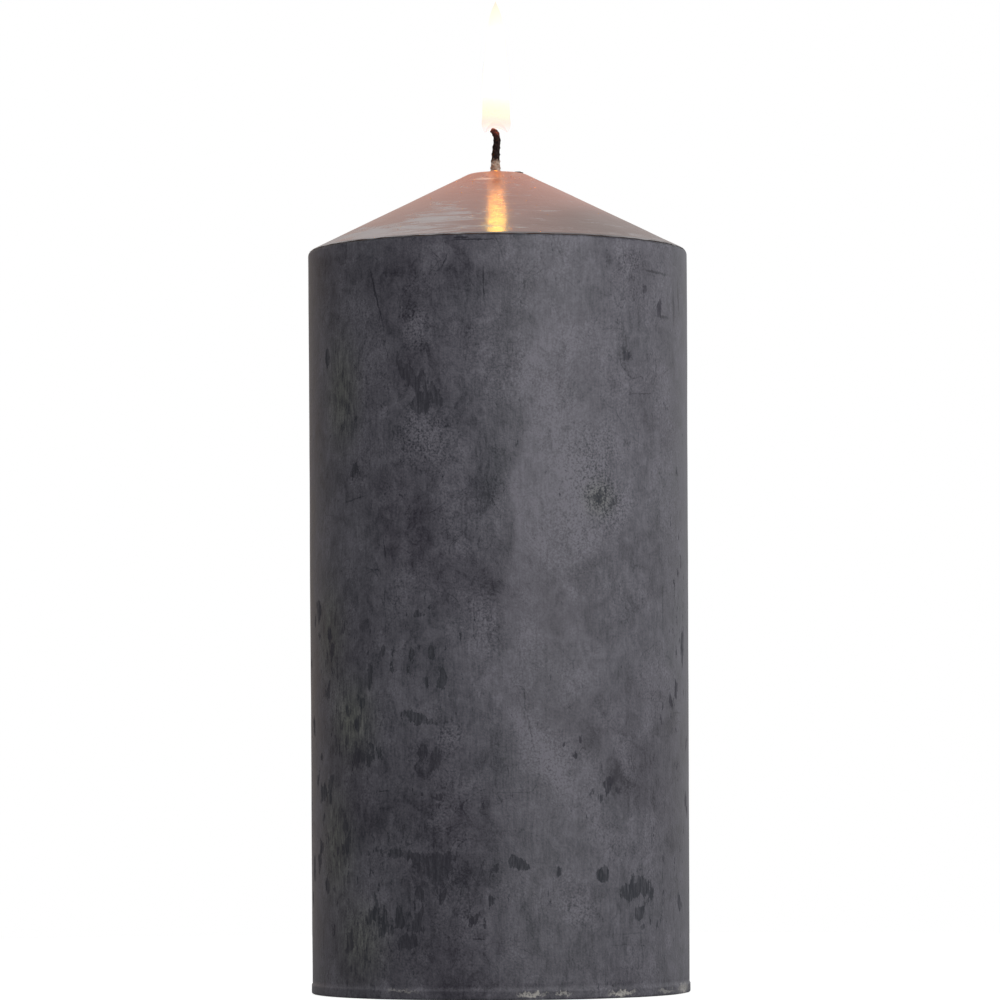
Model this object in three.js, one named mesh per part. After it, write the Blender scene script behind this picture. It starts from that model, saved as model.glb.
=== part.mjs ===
import * as THREE from 'three';

// A burning pillar candle with a cone top. Millimetres, +Z up.
// The origin is the centre of the base, on the surface that the candle stands on.

// Wax body, measured outside the dyed coat
const footRadius = 35;            // straight side, at the base
const sideFlare = 0.4;            // the side opens out by this much between base and shoulder
const waxHeight = 152.7;          // base to flat tip
const coneRise = 14.9;            // shoulder corner to flat tip
const tipRadius = 5.1;            // flat tip of the cone
const shoulderRounding = 1.1;
const tipRounding = 4;            // eases the low corner between the cone and the flat tip
const coatThickness = 1.6;        // dyed wax over the undyed core
const seamAngle = 0.6;            // where the two coats meet, in radians up the shoulder rounding
const lipHeight = 1.9;            // thicker edge of the side coat at the foot
const lipProud = 0.15;
const lipRounding = 0.35;
const coreBevel = 0.8;            // foot edge of the core

// Melted wax round the wick
const poolRadius = 3.4;
const poolDepth = 0.8;
const meniscusRise = 0.5;         // how far the melt climbs the wick

// Wick
const wickRadius = 1;
const wickFoot = 0.4;             // height of its cut lower end above the base
const wickLean = -0.26;           // sideways offset where it leaves the wax
const burntLength = 7;            // along the cord
const charRadius = 0.68;          // the burnt cord has shrunk
const charEndRadius = 0.36;
const bentLength = 13;            // along the cord, the stretch that isn't straight

// Wick sustainer: a pressed tin disc with a collar that grips the wick
const sustainerRadius = 10;
const sustainerLift = 0.6;        // its underside above the base
const sheetThickness = 0.4;
const beadRadius = 6.2;           // stiffening bead pressed into the disc
const beadHalfWidth = 1.1;
const beadRise = 0.5;
const collarHeight = 6;

// Flame
const flameHeight = 24.7;
const flameRadius = 2.6;
const flameOffset = -0.1;         // it stands over the middle of the cord
const flameStart = 7.85;          // its lowest edge above the wax tip
const flameHollowRadius = 1.7;    // hollow underneath, round the end of the wick
const flameHollowDepth = 1.6;
const flameLipWidth = 0.25;       // lowest edge, between the hollow and the outside

// Clearances
const seatGap = 0.3;              // between pieces that seat on each other
const boreClearance = 0.45;       // wick to wax: the cord leans in its hole

// Smoothness
const bodySegments = 72;
const smallSegments = 36;
const arcSteps = 4;
const wickSides = 12;
const hiddenSteps = 4;            // rings of the wick inside the wax
const bentSteps = 34;             // rings of the wick where it leans and hooks
const hollowSteps = 4;
const flameSteps = 22;

// Worked out from the sizes above
const shoulderRadius = footRadius + sideFlare;
const coneSlope = Math.atan2(coneRise, shoulderRadius - tipRadius);
const shoulderHeight = waxHeight - coneRise;
const filletCut = shoulderRounding * Math.tan((Math.PI / 2 - coneSlope) / 2);
const filletRadius = shoulderRadius - shoulderRounding;
const filletHeight = shoulderHeight - filletCut;
const tipCut = tipRounding * Math.tan(coneSlope / 2);
const seamHeight = filletHeight + shoulderRounding * Math.sin(seamAngle);
const boreRadius = wickRadius + boreClearance;
const collarInside = wickRadius + seatGap;
const collarOutside = collarInside + sheetThickness;
const collarTop = sustainerLift + collarHeight;
const recessHeight = sustainerLift + sheetThickness + beadRise + seatGap;
const recessRadius = sustainerRadius + seatGap;

function turned(outline, segments) {
  // Turns an outline of [radius, height] pairs round the Z axis.
  const points = outline.map(([radius, height]) => new THREE.Vector2(radius, height));
  const geometry = new THREE.LatheGeometry(points, segments);
  geometry.rotateX(Math.PI / 2);
  return geometry;
}

function arc(centreRadius, centreHeight, radius, startAngle, endAngle) {
  const points = [];
  for (let step = 0; step <= arcSteps; step += 1) {
    const angle = startAngle + (endAngle - startAngle) * step / arcSteps;
    points.push([centreRadius + radius * Math.cos(angle), centreHeight + radius * Math.sin(angle)]);
  }
  return points;
}

function shoulderArc(lowHeight, highHeight) {
  // The part of the shoulder rounding that lies between two heights.
  const angleAt = (height) => Math.asin((height - filletHeight) / shoulderRounding);
  return arc(filletRadius, filletHeight, shoulderRounding, angleAt(lowHeight), angleAt(highHeight));
}

function coneHeight(radius, inset) {
  // Height of the cone surface at a radius, or of the surface parallel to it and inset below it.
  return waxHeight - (radius - tipRadius) * Math.tan(coneSlope) - inset / Math.cos(coneSlope);
}

function coneRadius(height, inset) {
  return tipRadius + (waxHeight - inset / Math.cos(coneSlope) - height) / Math.tan(coneSlope);
}

function piece(name, geometry, colour, roughness, metalness = 0) {
  const material = new THREE.MeshStandardMaterial({ color: colour, roughness, metalness });
  const mesh = new THREE.Mesh(geometry, material);
  mesh.name = name;
  return mesh;
}

function waxCore() {
  const inset = coatThickness + seatGap;
  const cornerRadius = shoulderRadius - inset;
  const top = waxHeight - inset;
  const collarHole = collarOutside + seatGap;
  const outline = [
    [recessRadius, 0],
    [footRadius - inset - coreBevel, 0],
    [footRadius - inset, coreBevel],
    [cornerRadius, coneHeight(cornerRadius, inset)],
    [coneRadius(top, inset), top],
    [boreRadius, top],
    [boreRadius, collarTop + seatGap],
    [collarHole, collarTop + seatGap],
    [collarHole, recessHeight],
    [recessRadius, recessHeight],
    [recessRadius, 0],
  ];
  return piece('wax_core', turned(outline, bodySegments), 0xb9b4b0, 0.55);
}

function sideCoat() {
  const lipRadius = footRadius + lipProud;
  const top = seamHeight - seatGap / 2;
  const outline = [
    [footRadius - coatThickness, 0],
    ...arc(lipRadius - lipRounding, lipRounding, lipRounding, -Math.PI / 2, 0),
    [lipRadius, lipHeight - lipProud],
    [footRadius, lipHeight],
    ...shoulderArc(filletHeight, top),
    [shoulderRadius - coatThickness, top],
    [footRadius - coatThickness, 0],
  ];
  return piece('side_coat', turned(outline, bodySegments), 0x4e4d53, 0.5);
}

function dishHeight(radius) {
  // The melt has eaten a shallow dish into the flat tip, deepest at the wick.
  const inward = (poolRadius - radius) / (poolRadius - boreRadius);
  return waxHeight - poolDepth * (1 - (1 - inward) ** 2);
}

function radiiToBore(outerRadius) {
  const radii = [];
  for (let step = 0; step <= arcSteps; step += 1) {
    radii.push(THREE.MathUtils.lerp(outerRadius, boreRadius, step / arcSteps));
  }
  return radii;
}

function topCoat() {
  const foot = seamHeight + seatGap / 2;
  const innerTop = waxHeight - coatThickness;
  const outline = [
    ...shoulderArc(foot, filletHeight + shoulderRounding * Math.cos(coneSlope)),
    ...arc(tipRadius - tipCut, waxHeight - tipRounding, tipRounding, Math.PI / 2 - coneSlope, Math.PI / 2),
    ...radiiToBore(poolRadius).map((radius) => [radius, dishHeight(radius)]),
    [boreRadius, innerTop],
    [coneRadius(innerTop, coatThickness), innerTop],
    [coneRadius(foot, coatThickness), foot],
  ];
  outline.push(outline[0]);
  return piece('top_coat', turned(outline, bodySegments), 0x5a4f4b, 0.32);
}

function meltPool() {
  // Liquid wax in the dish: its underside follows the dish and its surface climbs the wick.
  const edge = poolRadius - seatGap;
  const radii = radiiToBore(edge);
  const under = radii.map((radius) => [radius, Math.min(waxHeight, dishHeight(radius) + seatGap)]);
  const surface = radii.map((radius) => {
    const inward = (edge - radius) / (edge - boreRadius);
    return [radius, waxHeight + meniscusRise * inward ** 3];
  });
  const outline = [...under.reverse(), ...surface.slice(1), under[0]];
  return piece('melt_pool', turned(outline, smallSegments), 0x6b4c3c, 0.08);
}

function wickPath() {
  // The cord stands in its bore, leans where it leaves the wax, and hooks over at its burnt end.
  const path = new THREE.CatmullRomCurve3([
    new THREE.Vector3(0, 0, wickFoot),
    new THREE.Vector3(0, 0, waxHeight * 0.5),
    new THREE.Vector3(0, 0, waxHeight - 12),
    new THREE.Vector3(wickLean, 0, waxHeight),
    new THREE.Vector3(wickLean, 0, waxHeight + 2),
    new THREE.Vector3(-0.15, 0, waxHeight + 4.5),
    new THREE.Vector3(0.03, 0, waxHeight + 6.5),
    new THREE.Vector3(-0.12, 0, waxHeight + 7.35),
    new THREE.Vector3(-0.52, 0, waxHeight + 7.98),
    new THREE.Vector3(-1.08, 0, waxHeight + 8.3),
  ], false, 'centripetal');
  path.arcLengthDivisions = 2000;
  return path;
}

function wick() {
  // A straight tapered cord is turned first, then every ring of it is carried onto the path.
  const path = wickPath();
  const length = path.getLength();
  const outline = [[0, 0]];
  for (let step = 0; step < hiddenSteps; step += 1) {
    outline.push([wickRadius, (length - bentLength) * step / hiddenSteps]);
  }
  for (let step = 0; step <= bentSteps; step += 1) {
    const distance = length - bentLength + (bentLength - charEndRadius) * step / bentSteps;
    const burnt = THREE.MathUtils.clamp(1 - (length - distance) / burntLength, 0, 1);
    outline.push([THREE.MathUtils.lerp(wickRadius, charRadius, Math.sqrt(burnt)), distance]);
  }
  outline.push([charEndRadius, length]);
  outline.push([0, length]);
  const geometry = turned(outline, wickSides);
  const place = geometry.attributes.position;
  for (let index = 0; index < place.count; index += 1) {
    const along = THREE.MathUtils.clamp(place.getZ(index) / length, 0, 1);
    const centre = path.getPointAt(along);
    const direction = path.getTangentAt(along);
    const sideways = place.getX(index);
    place.setX(index, centre.x + sideways * direction.z);
    place.setZ(index, centre.z - sideways * direction.x);
  }
  return piece('wick', geometry, 0x2a1d1a, 0.9);
}

function wickSustainer() {
  const top = sustainerLift + sheetThickness;
  const underBead = beadHalfWidth - sheetThickness / 2;
  const outline = [
    [collarInside, sustainerLift],
    [beadRadius - beadHalfWidth, sustainerLift],
    [beadRadius - underBead / 2, sustainerLift + beadRise],
    [beadRadius + underBead / 2, sustainerLift + beadRise],
    [beadRadius + beadHalfWidth, sustainerLift],
    [sustainerRadius, sustainerLift],
    [sustainerRadius, top],
    [beadRadius + beadHalfWidth, top],
    [beadRadius + underBead / 2, top + beadRise],
    [beadRadius - underBead / 2, top + beadRise],
    [beadRadius - beadHalfWidth, top],
    [collarOutside, top],
    [collarOutside, collarTop],
    [collarInside, collarTop],
    [collarInside, sustainerLift],
  ];
  return piece('wick_sustainer', turned(outline, smallSegments), 0xb8b8b4, 0.35, 1);
}

function flame() {
  // A long drop: round below, drawn out to a point above, and hollow round the end of the wick.
  const base = waxHeight + flameStart;
  const outline = [];
  for (let step = 0; step <= hollowSteps; step += 1) {
    const angle = Math.PI / 2 * step / hollowSteps;
    outline.push([flameHollowRadius * Math.sin(angle), base + flameHollowDepth * Math.cos(angle)]);
  }
  const side = new THREE.SplineCurve([
    new THREE.Vector2(flameHollowRadius + flameLipWidth, 0),
    new THREE.Vector2(flameRadius * 0.95, flameHeight * 0.04),
    new THREE.Vector2(flameRadius, flameHeight * 0.15),
    new THREE.Vector2(flameRadius * 0.96, flameHeight * 0.35),
    new THREE.Vector2(flameRadius * 0.75, flameHeight * 0.62),
    new THREE.Vector2(flameRadius * 0.5, flameHeight * 0.85),
    new THREE.Vector2(0, flameHeight),
  ]);
  for (const point of side.getPoints(flameSteps).slice(0, -1)) {
    outline.push([point.x, base + point.y]);
  }
  outline.push([0, base + flameHeight]);
  const mesh = piece('flame', turned(outline, smallSegments), 0xffd9a0, 1);
  mesh.position.x = flameOffset;
  return mesh;
}

const candle = new THREE.Group();
candle.add(waxCore(), sideCoat(), topCoat(), meltPool(), wick(), wickSustainer(), flame());

export default candle;
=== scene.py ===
import math
import random

import bmesh
import bpy
import numpy
from mathutils import Matrix, Vector, noise


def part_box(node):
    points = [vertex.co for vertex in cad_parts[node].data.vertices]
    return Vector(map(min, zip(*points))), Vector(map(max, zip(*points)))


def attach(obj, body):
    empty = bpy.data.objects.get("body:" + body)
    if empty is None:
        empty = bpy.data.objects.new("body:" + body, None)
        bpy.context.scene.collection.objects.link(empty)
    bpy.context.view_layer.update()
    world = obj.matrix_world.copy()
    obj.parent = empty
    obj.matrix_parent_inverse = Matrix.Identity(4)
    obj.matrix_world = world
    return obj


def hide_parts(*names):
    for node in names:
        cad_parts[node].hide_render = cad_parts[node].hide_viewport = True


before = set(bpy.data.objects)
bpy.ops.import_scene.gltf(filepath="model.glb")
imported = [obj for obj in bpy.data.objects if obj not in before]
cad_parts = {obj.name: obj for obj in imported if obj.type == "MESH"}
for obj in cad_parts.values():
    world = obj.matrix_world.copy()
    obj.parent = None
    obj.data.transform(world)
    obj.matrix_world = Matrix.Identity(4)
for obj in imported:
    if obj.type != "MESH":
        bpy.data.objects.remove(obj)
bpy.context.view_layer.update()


# ------------------------------------------------------------------ wick sustainer
# A disc pressed from thin tin plate, with a stiffening bead and a collar drawn up in its middle.
# The collar grips the foot of the wick, and the disc sits in a recess under the candle.

MM = 0.001                        # sizes below are in millimetres
SUSTAINER_STEPS = 96
SHEET = 0.4
ROLLED_EDGE = 0.09
WELD = 0.0005                     # corners nearer than this are made one


def ring_outline(corners, closed=True):
    """A bmesh that holds an outline of (radius, height) corners, standing on the XZ plane."""
    form = bmesh.new()
    points = [form.verts.new((radius * MM, 0, height * MM)) for radius, height in corners]
    for start, end in zip(points, points[1:] + points[:1] if closed else points[1:]):
        form.edges.new((start, end))
    return form


def turn(form, steps):
    """Turns the outline once round the candle's axis: a quarter, and three copies welded to it."""
    bmesh.ops.spin(form, geom=form.verts[:] + form.edges[:], cent=(0, 0, 0), axis=(0, 0, 1),
                   dvec=(0, 0, 0), angle=math.tau / 4, steps=steps // 4, use_merge=False)
    quarter = form.verts[:] + form.edges[:] + form.faces[:]
    for quarters in (1, 2, 3):
        copied = bmesh.ops.duplicate(form, geom=quarter)["geom"]
        bmesh.ops.rotate(form, verts=[part for part in copied if isinstance(part, bmesh.types.BMVert)],
                         cent=(0, 0, 0), matrix=Matrix.Rotation(math.tau * quarters / 4, 3, "Z"))
    bmesh.ops.remove_doubles(form, verts=form.verts, dist=WELD * MM)
    bmesh.ops.recalc_face_normals(form, faces=form.faces)


def put(name, form, material, node, sharp_above=40):
    """Makes the finished piece and hides the CAD node it stands for, if any."""
    for face in form.faces:
        face.smooth = True
    for edge in form.edges:
        edge.smooth = edge.calc_face_angle(0) < math.radians(sharp_above)
    mesh = bpy.data.meshes.new(name)
    form.to_mesh(mesh)
    form.free()
    mesh.materials.append(material)
    piece = bpy.data.objects.new(name, mesh)
    bpy.context.scene.collection.objects.link(piece)
    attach(piece, "root")
    if node:
        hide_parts(node)
    return piece


def add(tree, kind, sockets=None, **fields):
    """Adds a shader node. sockets gives its inputs, by name or number: a value or a link."""
    step = tree.nodes.new("ShaderNode" + kind)
    for field, value in fields.items():
        setattr(step, field, value)
    for socket, value in (sockets or {}).items():
        if isinstance(value, bpy.types.NodeSocket):
            tree.links.new(value, step.inputs[socket])
        else:
            step.inputs[socket].default_value = value
    return step


def calc(tree, operation, *values):
    """One Math node on numbers or links."""
    return add(tree, "Math", dict(enumerate(values)), operation=operation).outputs[0]


def total(tree, values):
    """The sum of a list of links."""
    summed = values[0]
    for value in values[1:]:
        summed = calc(tree, "ADD", summed, value)
    return summed


def spread(tree, value, low, high, start=0.0, end=1.0, way="SMOOTHSTEP"):
    """Takes low..high to start..end, held at both ends."""
    return add(tree, "MapRange", {0: value, 1: low, 2: high, 3: start, 4: end},
               interpolation_type=way).outputs[0]


def part(tree, value, weight):
    """Takes 0..1 to -weight..weight."""
    return calc(tree, "MULTIPLY_ADD", value, 2 * weight, -weight)


def blend(tree, share, first, second):
    """Mixes two colours."""
    mix = add(tree, "Mix", {0: share, 6: first, 7: second}, data_type="RGBA")
    return mix.outputs[2]


def grain(tree, place, per_mm, detail=2.0, rough=0.5, across=(1, 1, 1), warp=0.0):
    """Noise with a scale in waves per millimetre, stretched by across. 0.5 on average."""
    scaled = add(tree, "VectorMath", {0: place, 1: across}, operation="MULTIPLY").outputs[0]
    return add(tree, "TexNoise", {"Vector": scaled, "Scale": per_mm, "Detail": detail,
                                  "Roughness": rough, "Distortion": warp})


def new_material(name, **fixed):
    """A material with its Principled shader, whose fixed values are set on its own sockets."""
    material = bpy.data.materials.new(name)
    material.use_nodes = True
    tree = material.node_tree
    shader = tree.nodes["Principled BSDF"]
    for socket, value in fixed.items():
        shader.inputs[socket.replace("_", " ")].default_value = value
    return material, tree, shader


def feed(tree, shader, **links):
    """Links values that vary over the surface to the shader's sockets."""
    for socket, link in links.items():
        tree.links.new(link, shader.inputs[socket.replace("_", " ")])


def bump(tree, height, depth_mm, strength=1.0):
    """A normal from a height of 0..1 that stands depth_mm high."""
    return add(tree, "Bump", {"Height": height, "Distance": depth_mm * MM,
                              "Strength": strength}).outputs[0]


def new_group(name, takes, gives):
    """A node group. takes is (name, socket kind, start value) rows and gives (name, kind)."""
    tree = bpy.data.node_groups.new(name, "ShaderNodeTree")
    for label, kind, start in takes:
        socket = tree.interface.new_socket(label, in_out="INPUT", socket_type="NodeSocket" + kind)
        if start is not None:
            socket.default_value = start
    for label, kind in gives:
        tree.interface.new_socket(label, in_out="OUTPUT", socket_type="NodeSocket" + kind)
    inputs = tree.nodes.new("NodeGroupInput").outputs
    outputs = tree.nodes.new("NodeGroupOutput").inputs
    return tree, inputs, outputs


def use(tree, group, sockets=None):
    """Places a node group in a material."""
    return add(tree, "Group", sockets, node_tree=group)


# Where a point lies on the candle: millimetres, and millimetres round the side and up it.
whereabouts, _, found = new_group(
    "Place on the candle", [],
    [("Millimetres", "Vector"), ("Round and up", "Vector"), ("From axis", "Float")])
tree = whereabouts
SIDE_RADIUS = 35                  # millimetres round the side are measured on this radius
metres = add(tree, "TexCoord").outputs["Object"]
solid_mm = add(tree, "VectorMath", {0: metres, "Scale": 1 / MM}, operation="SCALE").outputs[0]
x_mm, y_mm, z_mm = add(tree, "SeparateXYZ", {0: solid_mm}).outputs
angle = calc(tree, "ARCTAN2", x_mm, calc(tree, "MULTIPLY", y_mm, -1))
round_and_up = add(tree, "CombineXYZ", {0: calc(tree, "MULTIPLY", angle, SIDE_RADIUS), 1: z_mm})
flat_mm = add(tree, "CombineXYZ", {0: x_mm, 1: y_mm}).outputs[0]
from_axis = add(tree, "VectorMath", {0: flat_mm}, operation="LENGTH").outputs["Value"]
for output, link in zip(found, (solid_mm, round_and_up.outputs[0], from_axis)):
    tree.links.new(link, output)

tin, tree, shader = new_material("Tin plate", Metallic=1.0)
place = use(tree, whereabouts).outputs[0]
spots = grain(tree, place, 0.45, 4, 0.6).outputs[0]
rolled = grain(tree, place, 1.0, 3, 0.6, across=(0.3, 6, 1)).outputs[0]
feed(tree, shader,
     Base_Color=blend(tree, spread(tree, spots, 0.35, 0.7), (0.62, 0.62, 0.6, 1), (0.4, 0.39, 0.37, 1)),
     Roughness=spread(tree, rolled, 0.3, 0.7, 0.24, 0.42),
     Normal=bump(tree, rolled, 0.02))

sustainer_low, sustainer_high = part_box("wick_sustainer")
lift = sustainer_low.z / MM
rim = sustainer_high.x / MM
BEAD_AT, BEAD_HALF, BEAD_RISE = 6.2, 1.1, 0.5
BEAD_CROWN = 0.45
COLLAR_IN = 1.3
FOLD_ANGLE = 0.3                  # radians: edges that turn more than this are rolled over
collar_out = COLLAR_IN + SHEET
form = ring_outline([
    (COLLAR_IN, lift), (BEAD_AT - BEAD_HALF, lift),
    (BEAD_AT - BEAD_CROWN, lift + BEAD_RISE), (BEAD_AT + BEAD_CROWN, lift + BEAD_RISE),
    (BEAD_AT + BEAD_HALF, lift), (rim, lift), (rim, lift + SHEET),
    (BEAD_AT + BEAD_HALF, lift + SHEET), (BEAD_AT + BEAD_CROWN, lift + SHEET + BEAD_RISE),
    (BEAD_AT - BEAD_CROWN, lift + SHEET + BEAD_RISE), (BEAD_AT - BEAD_HALF, lift + SHEET),
    (collar_out, lift + SHEET), (collar_out, sustainer_high.z / MM),
    (COLLAR_IN, sustainer_high.z / MM)])
turn(form, SUSTAINER_STEPS)
bmesh.ops.bevel(form, geom=[edge for edge in form.edges if edge.calc_face_angle(0) > FOLD_ANGLE],
                offset=ROLLED_EDGE * MM, offset_type="OFFSET", affect="EDGES", segments=2,
                profile=0.5, material=-1, clamp_overlap=True)
CRIMPS, CRIMP_DEPTH = 4, 0.2
CRIMP_FROM, CRIMP_RUN = 1, 2      # heights above the disc
for corner in form.verts:         # the collar is pinched in at four places
    height = corner.co.z / MM - lift - SHEET
    if height > CRIMP_FROM:
        around = math.atan2(corner.co.y, corner.co.x)
        pinch = max(0.0, math.cos(CRIMPS * around)) ** 3 * min(1, (height - CRIMP_FROM) / CRIMP_RUN)
        corner.co.xy *= 1 - CRIMP_DEPTH * pinch / (corner.co.xy.length / MM)
put("tin_sustainer", form, tin, "wick_sustainer")


# ------------------------------------------------------------------ wick
# Eight bundles of cotton yarn plaited into a round cord. It stands in the wax, leans a little
# where it comes out, and its burnt end has shrunk, gone black and hooked over.

STRANDS = 4                       # in each direction
STRAND_SIDES = 8
HEART_SIDES = 16
STRAND_RINGS = 320
HIDDEN_RINGS = 0.6                # share of the rings that lie deep in the wax, far apart
FINE_LENGTH = 12                  # the last stretch of cord, where the rings are close together
BENDS_FROM = 12                   # depth below the tip at which the cord starts to lean
PLAIT_PITCH = 5.2                 # length of cord for one turn of a strand
STRAND_HALF_THICK = 0.3
STRAND_HALF_WIDE = 0.56
WEAVE_SWING = 0.07                # strands go over and under each other by this much
WICK_RADIUS = 1.0
CHAR_RADIUS = 0.68
CHAR_END_RADIUS = 0.42
CHAR_END_LENGTH = 0.5
BURNT_LENGTH = 7
CHAR_CRUMPLE = 0.07
HEART_RADIUS = 0.78               # share of the cord's radius

tip_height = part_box("top_coat")[1].z / MM
wick_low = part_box("wick")[0]
wick_course = [Vector((x, 0, z)) for x, z in (
    (0, wick_low.z / MM), (0, tip_height - BENDS_FROM), (-0.26, tip_height), (-0.26, tip_height + 2),
    (-0.15, tip_height + 4.5), (0.03, tip_height + 6.5), (-0.12, tip_height + 7.35),
    (-0.52, tip_height + 7.98), (-1.08, tip_height + 8.3))]


def smooth_course(points):
    """A smooth curve through points, as a function of the distance along them, and its length."""
    marks = [0.0]
    for start, end in zip(points, points[1:]):
        marks.append(marks[-1] + (end - start).length)
    slopes = [(b - a) / (v - u) for a, b, u, v in zip(points, points[1:], marks, marks[1:])]
    leaving = [slopes[0]]
    for before, after, u, v, w in zip(slopes, slopes[1:], marks, marks[1:], marks[2:]):
        leaving.append((before * (w - v) + after * (v - u)) / (w - u))
    leaving.append(slopes[-1])

    def at(distance):
        span = 0
        while span < len(points) - 2 and distance > marks[span + 1]:
            span += 1
        gap = marks[span + 1] - marks[span]
        t = (distance - marks[span]) / gap
        return (points[span] * (2 * t**3 - 3 * t**2 + 1) + leaving[span] * gap * (t**3 - 2 * t**2 + t)
                + points[span + 1] * (3 * t**2 - 2 * t**3) + leaving[span + 1] * gap * (t**3 - t**2))
    return at, marks[-1]


wick_at, wick_length = smooth_course(wick_course)


def cord_at(share):
    """The cord at one ring: distance, burnt share, width, centre and direction."""
    hidden = wick_length - FINE_LENGTH
    along = (hidden * share / HIDDEN_RINGS if share < HIDDEN_RINGS
             else hidden + FINE_LENGTH * (share - HIDDEN_RINGS) / (1 - HIDDEN_RINGS))
    burnt = min(1, max(0, 1 - (wick_length - along) / BURNT_LENGTH))
    shrink = WICK_RADIUS + (CHAR_RADIUS - WICK_RADIUS) * math.sqrt(burnt)
    shrink += (CHAR_END_RADIUS - CHAR_RADIUS) * max(0, 1 - (wick_length - along) / CHAR_END_LENGTH)
    near = 0.05
    ahead = wick_at(min(along + near, wick_length)) - wick_at(max(along - near, 0))
    return along, burnt, shrink, wick_at(along), ahead.normalized()


def drawn_yarn(sides):
    """A straight closed rod as long as the cord, cut into rings."""
    form = bmesh.new()
    bmesh.ops.create_cone(form, cap_ends=True, segments=sides, radius1=1, radius2=1, depth=wick_length)
    long_edges = [edge for edge in form.edges
                  if abs(edge.verts[0].co.z - edge.verts[1].co.z) > 1]
    bmesh.ops.subdivide_edges(form, edges=long_edges, cuts=STRAND_RINGS)
    return form


def gather(cord, form):
    """Adds a finished yarn to the cord."""
    bmesh.ops.recalc_face_normals(form, faces=form.faces)
    yarn = bpy.data.meshes.new("yarn")
    form.to_mesh(yarn)
    form.free()
    cord.from_mesh(yarn)
    bpy.data.meshes.remove(yarn)


def lay_strand(cord, number, turning):
    """Winds one bundle of yarn along the cord and carries it over and under the others."""
    form = drawn_yarn(STRAND_SIDES)
    laid = {}
    for corner in form.verts:
        ring = round((corner.co.z / wick_length + 0.5) * (STRAND_RINGS + 1))
        if ring not in laid:
            laid[ring] = cord_at(ring / (STRAND_RINGS + 1))
        along, burnt, shrink, centre, ahead = laid[ring]
        turned_by = math.tau * along / PLAIT_PITCH
        swing = WEAVE_SWING * turning * math.cos(4 * turned_by)
        swing *= 1 - 0.5 * burnt
        out = 1 - STRAND_HALF_THICK - WEAVE_SWING + swing + corner.co.x * STRAND_HALF_THICK
        around = turning * turned_by + number * math.tau / STRANDS + corner.co.y * STRAND_HALF_WIDE
        crumple = burnt * CHAR_CRUMPLE * noise.noise(Vector((around, number, along * 2.1)))
        sideways = Vector((ahead.z, 0, -ahead.x)) * math.cos(around) + Vector((0, math.sin(around), 0))
        corner.co = (centre + sideways * (out * shrink + crumple)) * MM
    gather(cord, form)


def lay_heart(cord):
    """The straight yarns in the middle, which the plait holds together."""
    form = drawn_yarn(HEART_SIDES)
    for corner in form.verts:
        _, _, shrink, centre, ahead = cord_at(corner.co.z / wick_length + 0.5)
        reach = HEART_RADIUS * shrink
        corner.co = (centre + Vector((ahead.z, 0, -ahead.x)) * corner.co.x * reach
                     + Vector((0, corner.co.y * reach, 0))) * MM
    gather(cord, form)


cotton, tree, shader = new_material("Wick cotton", Specular_IOR_Level=0.35)
spot = use(tree, whereabouts).outputs
height = add(tree, "SeparateXYZ", {0: spot[0]}).outputs[2]
fluff = grain(tree, spot[0], 2.4, 3, 0.6).outputs[0]
yarn = grain(tree, spot[0], 5, 2, 0.5, across=(1, 1, 0.35)).outputs[0]
CHAR_START = tip_height + 2.0     # the cotton below this isn't burnt
CHAR_FADE = 0.9
ASH_START, ASH_FULL = tip_height + 6.6, tip_height + 7.6
char_height = calc(tree, "ADD", height, spread(tree, fluff, 0.3, 0.7, -0.45, 0.45))
charred = spread(tree, char_height, CHAR_START, CHAR_START + CHAR_FADE)
ash = spread(tree, height, ASH_START, ASH_FULL)
waxed = blend(tree, spread(tree, yarn, 0.3, 0.7), (0.34, 0.25, 0.19, 1), (0.58, 0.45, 0.36, 1))
black = blend(tree, spread(tree, yarn, 0.35, 0.7), (0.004, 0.002, 0.002, 1), (0.03, 0.012, 0.01, 1))
burnt_end = blend(tree, ash, black, (0.075, 0.022, 0.02, 1))
feed(tree, shader,
     Base_Color=blend(tree, charred, waxed, burnt_end),
     Roughness=spread(tree, charred, 0, 1, 0.42, 0.85),
     Normal=bump(tree, yarn, 0.05, 0.7))

form = bmesh.new()
for number in range(STRANDS):
    lay_strand(form, number, 1)
    lay_strand(form, number, -1)
lay_heart(form)
put("plaited_wick", form, cotton, "wick", sharp_above=70)


# ------------------------------------------------------------------ wax core
# The undyed wax inside, cast round the wick with a recess underneath for the sustainer.
# Only its foot shows, inside the ring of the dyed coat.

core_wax, tree, shader = new_material("Undyed wax", Roughness=0.5, Specular_IOR_Level=0.45)
place = use(tree, whereabouts).outputs[0]
cast = grain(tree, place, 0.16, 4, 0.55).outputs[0]
pits = grain(tree, place, 1.3, 3, 0.6).outputs[0]
poured = blend(tree, spread(tree, cast, 0.3, 0.7), (0.6, 0.57, 0.54, 1), (0.74, 0.72, 0.69, 1))
feed(tree, shader,
     Base_Color=blend(tree, spread(tree, pits, 0.6, 0.75), poured, (0.45, 0.43, 0.42, 1)),
     Roughness=spread(tree, pits, 0.3, 0.7, 0.38, 0.6),
     Normal=bump(tree, pits, 0.12))
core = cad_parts["wax_core"]
core.data.materials.clear()
core.data.materials.append(core_wax)


# ------------------------------------------------------------------ side coat
# The dyed wax that the candle is dipped in: near-black, with a greyish frost where it was
# rubbed and handled, dark flakes where the frost is knocked off, and a chipped lower edge.

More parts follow.
